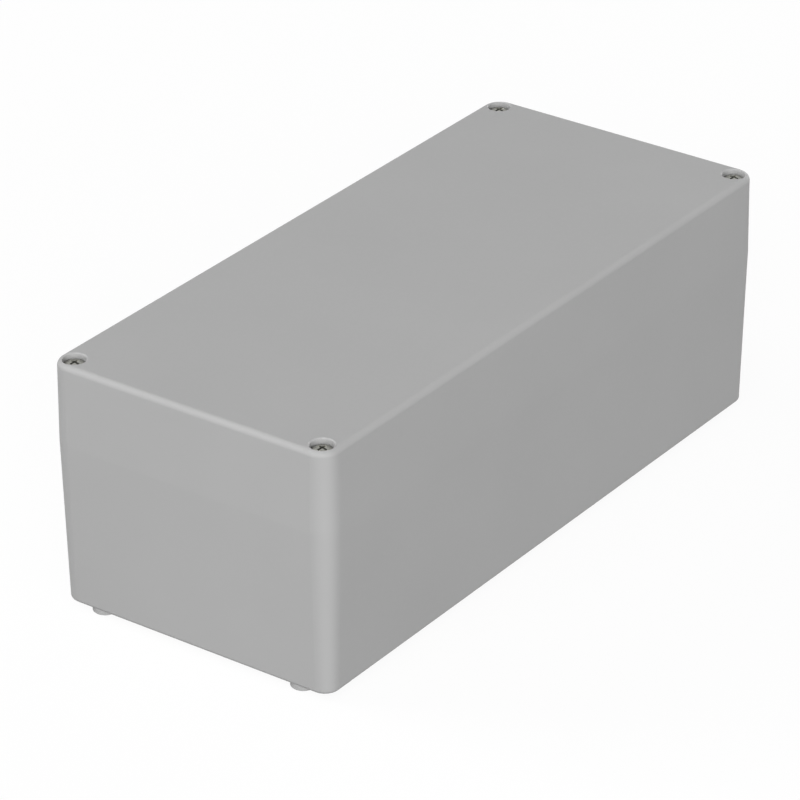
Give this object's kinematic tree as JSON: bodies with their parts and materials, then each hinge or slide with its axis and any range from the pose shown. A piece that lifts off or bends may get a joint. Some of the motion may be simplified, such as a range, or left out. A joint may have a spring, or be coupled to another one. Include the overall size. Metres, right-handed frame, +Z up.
{
  "type": "plastic enclosure",
  "caption": "Rectangular moulded plastic enclosure with a lift-off gasketed lid, sunk captive corner screws, board bosses and short feet round its wall-fixing holes.",
  "frame": {"origin": "centre of the plane that the four feet stand on", "axes": "+X along the length, +Y along the width, +Z up through the lid"},
  "size_m": [0.2714, 0.12, 0.0972],
  "materials": {
    "plastic": "fine moulded texture, light grey",
    "rubber": "black gasket",
    "steel": "plated screw steel",
    "brass": "turned brass"
  },
  "bodies": {
    "base": {"enclosure_base": "plastic", "threaded_insert_1": "brass", "threaded_insert_2": "brass", "threaded_insert_3": "brass", "threaded_insert_4": "brass"},
    "lid": {"enclosure_lid": "plastic", "lid_gasket": "rubber"},
    "screw_1": {"lid_screw_1": "steel"},
    "screw_2": {"lid_screw_2": "steel"},
    "screw_3": {"lid_screw_3": "steel"},
    "screw_4": {"lid_screw_4": "steel"}
  },
  "joints": [
    {"name": "lid_lift", "type": "slide", "parent": "base", "child": "lid", "axis": [0, 0, 1], "range_m": [0, 0.12]},
    {"name": "screw_1_turn", "type": "hinge", "parent": "lid", "child": "screw_1", "pos_m": [-0.12905, -0.0533, 0.09295], "axis": [0, 0, 1], "continuous": true},
    {"name": "screw_2_turn", "type": "hinge", "parent": "lid", "child": "screw_2", "pos_m": [0.12905, -0.0533, 0.09295], "axis": [0, 0, 1], "continuous": true},
    {"name": "screw_3_turn", "type": "hinge", "parent": "lid", "child": "screw_3", "pos_m": [0.12905, 0.0533, 0.09295], "axis": [0, 0, 1], "continuous": true},
    {"name": "screw_4_turn", "type": "hinge", "parent": "lid", "child": "screw_4", "pos_m": [-0.12905, 0.0533, 0.09295], "axis": [0, 0, 1], "continuous": true}
  ]
}
